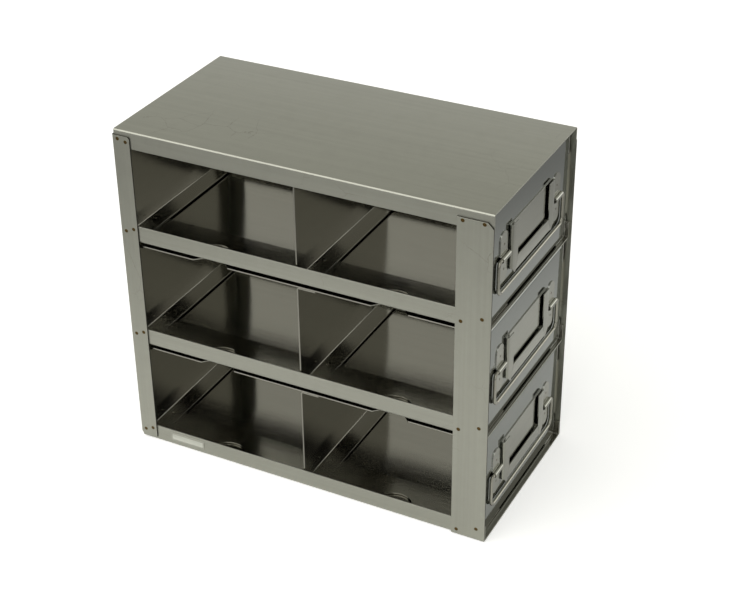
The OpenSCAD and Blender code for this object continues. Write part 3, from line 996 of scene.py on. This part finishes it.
def post_welds(sizes):
    """Two welds on each post at each tray and at the cover, with their outward normals."""
    # The front post's rear and front weld, then the rear post's: in from an edge, and up from a sheet's foot
    from_edge = np.array([-4, 6.3, -4.5, 3.2]) * MM
    tray_rise = np.array([4.4, 9.5, 8, 10.5]) * MM
    cover_rise = np.array([5, 5.4, 6.5, 5]) * MM
    places = []
    normals = []
    for name, side in SIDES:
        front_low, front_high = corners(f"front_post_{name}")
        rear_low, rear_high = corners(f"rear_post_{name}")
        x = (front_low[0] if side < 0 else front_high[0]) - side * sizes.mark_rise
        y = np.array([front_high[1], front_low[1], rear_high[1], rear_low[1]]) + from_edge
        for node in (*TRAYS, "top_cover"):
            rise = cover_rise if node == "top_cover" else tray_rise
            places.append(spread(x, y, corners(node)[0][2] + rise))
            normals += [(side, 0, 0)] * len(y)
    return np.vstack(places), normals


def drawer_welds(level, sizes):
    """Welds on the feet of a drawer's walls and on its clip tabs, with their normals."""
    from_edge = 4.6 * MM
    from_wall = 6 * MM
    tab_out = 9 * MM
    places = []
    normals = []
    over_strip = corners(f"{level}_floor_strip")[1][0] - from_edge
    over_angle = corners(f"{level}_floor_angle")[0][0] + from_edge
    for part in ("front", "divider", "rear_wall"):
        low, high = corners(f"{level}_drawer_{part}")
        y = low[1] + from_wall if part == "front" else high[1] - from_wall
        for x in (over_strip, over_angle):
            places += [(x, y, low[2] + sheet_gauge()), (x, y, high[2] - sheet_gauge())]
            normals += [(0, 0, 1), (0, 0, -1)]
    for name, _ in SIDES:
        low, high = corners(f"{level}_clip_{name}")
        middle = (low + high) / 2
        for out in (-tab_out, tab_out):
            places.append((middle[0], high[1] - sizes.clip_t, middle[2] + out))
            normals.append((0, -1, 0))
    return places, normals


class RACK_OT_weld_marks(bpy.types.Operator):
    """Mark the spot welds of the frame and of each drawer."""

    bl_idname = "rack.weld_marks"
    bl_label = "Weld marks"

    def execute(self, context):
        sizes = context.scene.rack_sizes
        colours = context.scene.rack_colours
        tinted = weld_tint("stainless_spot_weld_heat_tint", colours.heat_tint, colours.weld_straw)
        bare = weld_tint("stainless_spot_weld_bare", colours.bare_weld, colours.weld_straw)
        mesh = weld_marks("rack_weld_marks", *post_welds(sizes), sizes.mark_d, sizes.mark_rise)
        show(mesh, "rack", tinted)
        for level in LEVELS:
            welds = drawer_welds(level, sizes)
            mesh = weld_marks(f"{level}_drawer_weld_marks", *welds, sizes.small_mark_d, sizes.mark_rise)
            show(mesh, f"{level}_drawer", bare)
        return {"FINISHED"}


# The stage

def lay_floor(reach, drop):
    """A flat square grid just under the rack."""
    lines = 5
    line = np.linspace(-reach, reach, lines)
    return mesh_of("floor", spread(line[None, :], line[:, None], -drop), quads(lines, lines).tolist())


def studio_sky(colours):
    """A soft surround: nearly white at the horizon and greyer half way up and overhead."""
    world = bpy.data.worlds.new("studio")
    world.use_nodes = True
    tree = world.node_tree
    direction = add_node(tree, "ShaderNodeTexCoord").outputs["Generated"]
    parts = add_node(tree, "ShaderNodeSeparateXYZ", {0: direction})
    rise = add_node(tree, "ShaderNodeValToRGB", {"Fac": parts.outputs["Z"]})
    stops = rise.color_ramp.elements
    stops[0].color = rgba(colours.sky_low)
    stops[1].color = rgba(colours.sky_high)
    stops.new(0.5).color = rgba(colours.sky_middle)
    tree.links.new(rise.outputs["Color"], tree.nodes["Background"].inputs["Color"])
    return world


def soft_box(name, direction, distance, width, radiance):
    """A square area lamp aimed at the middle of the rack; its watts are radiance times pi times area."""
    lamp = bpy.data.lights.new(name, "AREA")
    lamp.size = width
    lamp.energy = radiance * math.pi * width ** 2
    box = bpy.data.objects.new(name, lamp)
    bpy.context.scene.collection.objects.link(box)
    aim = Vector(direction).normalized()
    box.location = (CAD_BOX[0] + CAD_BOX[1]) / 2 + aim * distance
    box.rotation_euler = aim.to_track_quat("Z", "Y").to_euler()


def stand_camera(settings):
    """A camera turned by azimuth and elevation and then rolled, with a focal length in pixels."""
    cos_e = math.cos(settings.elevation)
    ahead = Vector((-math.sin(settings.azimuth) * cos_e, math.cos(settings.azimuth) * cos_e,
                    -math.sin(settings.elevation)))
    level = ahead.cross(Vector((0, 0, 1))).normalized()
    upward = level.cross(ahead)
    right = math.cos(settings.roll) * level + math.sin(settings.roll) * upward
    up = math.cos(settings.roll) * upward - math.sin(settings.roll) * level
    lens = bpy.data.cameras.new("camera")
    lens.sensor_fit = "HORIZONTAL"
    lens.lens = lens.sensor_width * settings.focal_px / IMAGE_WIDTH
    camera = bpy.data.objects.new("camera", lens)
    bpy.context.scene.collection.objects.link(camera)
    turn = Matrix((right, up, -ahead)).transposed().to_4x4()
    camera.matrix_world = Matrix.Translation(settings.place) @ turn
    return camera


class RACK_OT_stage(bpy.types.Operator):
    """Set the floor, the surround, the lamps and the camera."""

    bl_idname = "rack.stage"
    bl_label = "Stage"

    def execute(self, context):
        scene = context.scene
        scene.view_settings.view_transform = "Standard"
        mesh = lay_floor(reach=6, drop=0.2 * MM)
        # near and far are the levels of the painted pool of light that metal mirrors in the floor.
        mesh.materials.append(pale_floor(scene.rack_colours.floor, top_up=0.45, near=0.98, far=0.4))
        floor = bpy.data.objects.new("floor", mesh)
        scene.collection.objects.link(floor)
        scene.world = studio_sky(scene.rack_colours)
        soft_box("key", direction=(-0.66, 0.30, 0.69), distance=1.8, width=2.75, radiance=1.4)
        soft_box("fill", direction=(0.74, -0.64, 0.12), distance=1.6, width=0.8, radiance=1.1)
        scene.camera = stand_camera(scene.rack_camera)
        return {"FINISHED"}


OPERATORS = (
    RACK_OT_stage,
    RACK_OT_trays,
    RACK_OT_posts,
    RACK_OT_name_plate,
    RACK_OT_drawer_sheets,
    RACK_OT_label_holders,
    RACK_OT_clips,
    RACK_OT_bails,
    RACK_OT_weld_marks,
)


class RACK_PT_panel(bpy.types.Panel):
    """Lists the rack's pieces, sizes and colours."""

    bl_idname = "RACK_PT_panel"
    bl_label = "Freezer drawer rack"
    bl_space_type = "VIEW_3D"
    bl_region_type = "UI"
    bl_category = "Rack"

    def draw(self, context):
        for operator in OPERATORS:
            self.layout.operator(operator.bl_idname)
        for group in (context.scene.rack_sizes, context.scene.rack_colours, context.scene.rack_camera):
            for name in group.__annotations__:
                self.layout.prop(group, name)


CLASSES = (RackSizes, RackColours, RackCamera, *OPERATORS, RACK_PT_panel)


def register():
    for cls in CLASSES:
        bpy.utils.register_class(cls)
    bpy.types.Scene.rack_sizes = PointerProperty(type=RackSizes)
    bpy.types.Scene.rack_colours = PointerProperty(type=RackColours)
    bpy.types.Scene.rack_camera = PointerProperty(type=RackCamera)


def unregister():
    del bpy.types.Scene.rack_camera
    del bpy.types.Scene.rack_colours
    del bpy.types.Scene.rack_sizes
    for cls in reversed(CLASSES):
        bpy.utils.unregister_class(cls)


def main():
    register()
    for operator in OPERATORS:
        group, name = operator.bl_idname.split(".")
        getattr(getattr(bpy.ops, group), name)()


if __name__ == "__main__":
    main()
